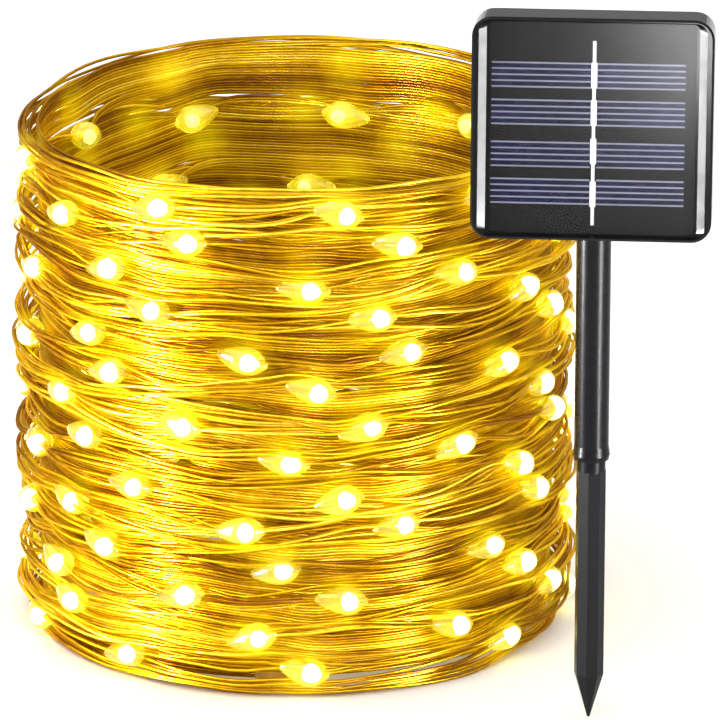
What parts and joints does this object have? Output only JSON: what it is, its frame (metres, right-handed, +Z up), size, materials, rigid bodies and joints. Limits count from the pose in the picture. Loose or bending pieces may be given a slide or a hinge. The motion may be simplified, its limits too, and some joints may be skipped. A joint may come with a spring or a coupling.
{
  "type": "solar string lights",
  "caption": "Solar lamp head on a ground stake, with a lead and a wound string of drop-shaped LED beads on gold-coloured wire.",
  "frame": {"origin": "tip of the ground spike, on the surface that the object stands on", "axes": "+Z up along the stake, -Y the way the solar panel faces, +X to the right seen from the front"},
  "size_m": [0.227, 0.2161, 0.2297],
  "materials": {
    "case_plastic": "satin charcoal moulding",
    "spike_plastic": "satin black moulding",
    "inner_plastic": "matt black",
    "epoxy": "clear, polished",
    "solar_cell": "dark blue silicon",
    "solder": "bright tinned",
    "panel_board": "black board",
    "seal_rubber": "soft black rubber",
    "steel": "zinc plated",
    "circuit": "green solder mask",
    "copper": "enamelled copper on ferrite",
    "indicator": "clear red",
    "battery_wrap": "shrink wrap",
    "wire_red": "soft insulation",
    "wire_black": "soft insulation",
    "button_red": "soft rubber",
    "button_grey": "soft rubber",
    "lead_jacket": "smooth black jacket",
    "wound_string": "gold-coloured enamelled wire",
    "bead_resin": "clear warm-yellow resin",
    "led_chip": "lit chip"
  },
  "bodies": {
    "head": {"front_frame": "case_plastic", "epoxy_cover": "epoxy", "cell_strip_1": "solar_cell", "cell_strip_2": "solar_cell", "cell_strip_3": "solar_cell", "cell_strip_4": "solar_cell", "finger_lines": "solder", "busbar": "solder", "cell_board": "panel_board", "case_gasket": "seal_rubber", "rear_cover": "case_plastic", "case_screws": "steel", "circuit_board": "circuit", "control_chip": "inner_plastic", "boost_coil": "copper", "tact_switches": "steel", "indicator_led": "indicator", "battery_cell": "steel", "battery_sleeve": "battery_wrap", "battery_spring": "steel", "battery_plate": "steel", "battery_holder": "inner_plastic", "panel_wires": "wire_red", "battery_wires": "wire_black", "lead_gland": "seal_rubber", "hinge_bolt": "steel", "friction_washers": "seal_rubber", "lead_cable": "lead_jacket", "lead_coil": "lead_jacket", "lead_tail": "lead_jacket", "splice_sleeve": "lead_jacket", "string_tail": "wound_string", "wire_coil": "wound_string", "drops_outer": "bead_resin", "drops_inner": "bead_resin", "chips_outer": "led_chip", "chips_inner": "led_chip", "end_cap": "bead_resin"},
    "arm": {"tilt_arm": "case_plastic", "arm_o_ring": "seal_rubber"},
    "stake": {"pole_tube": "case_plastic", "ground_spike": "spike_plastic"},
    "knob": {"thumb_knob": "case_plastic", "knob_nut": "steel"},
    "power_key": {"power_button": "button_red"},
    "mode_key": {"mode_button": "button_grey"}
  },
  "joints": [
    {"name": "panel_tilt", "type": "hinge", "parent": "head", "child": "arm", "pos_m": [0, 0, 0.194], "axis": [1, 0, 0], "range_deg": [-5, 85]},
    {"name": "stake_swivel", "type": "hinge", "parent": "arm", "child": "stake", "pos_m": [0, 0, 0.18], "axis": [0, 0, 1], "continuous": true},
    {"name": "knob_turn", "type": "hinge", "parent": "head", "child": "knob", "pos_m": [0, 0, 0.194], "axis": [1, 0, 0], "continuous": true},
    {"name": "power_press", "type": "slide", "parent": "head", "child": "power_key", "axis": [0, -0.9962, 0.0872], "range_m": [0, 0.0006], "stiffness_N_per_m": 1500},
    {"name": "mode_press", "type": "slide", "parent": "head", "child": "mode_key", "axis": [0, -0.9962, 0.0872], "range_m": [0, 0.0006], "stiffness_N_per_m": 1500}
  ]
}
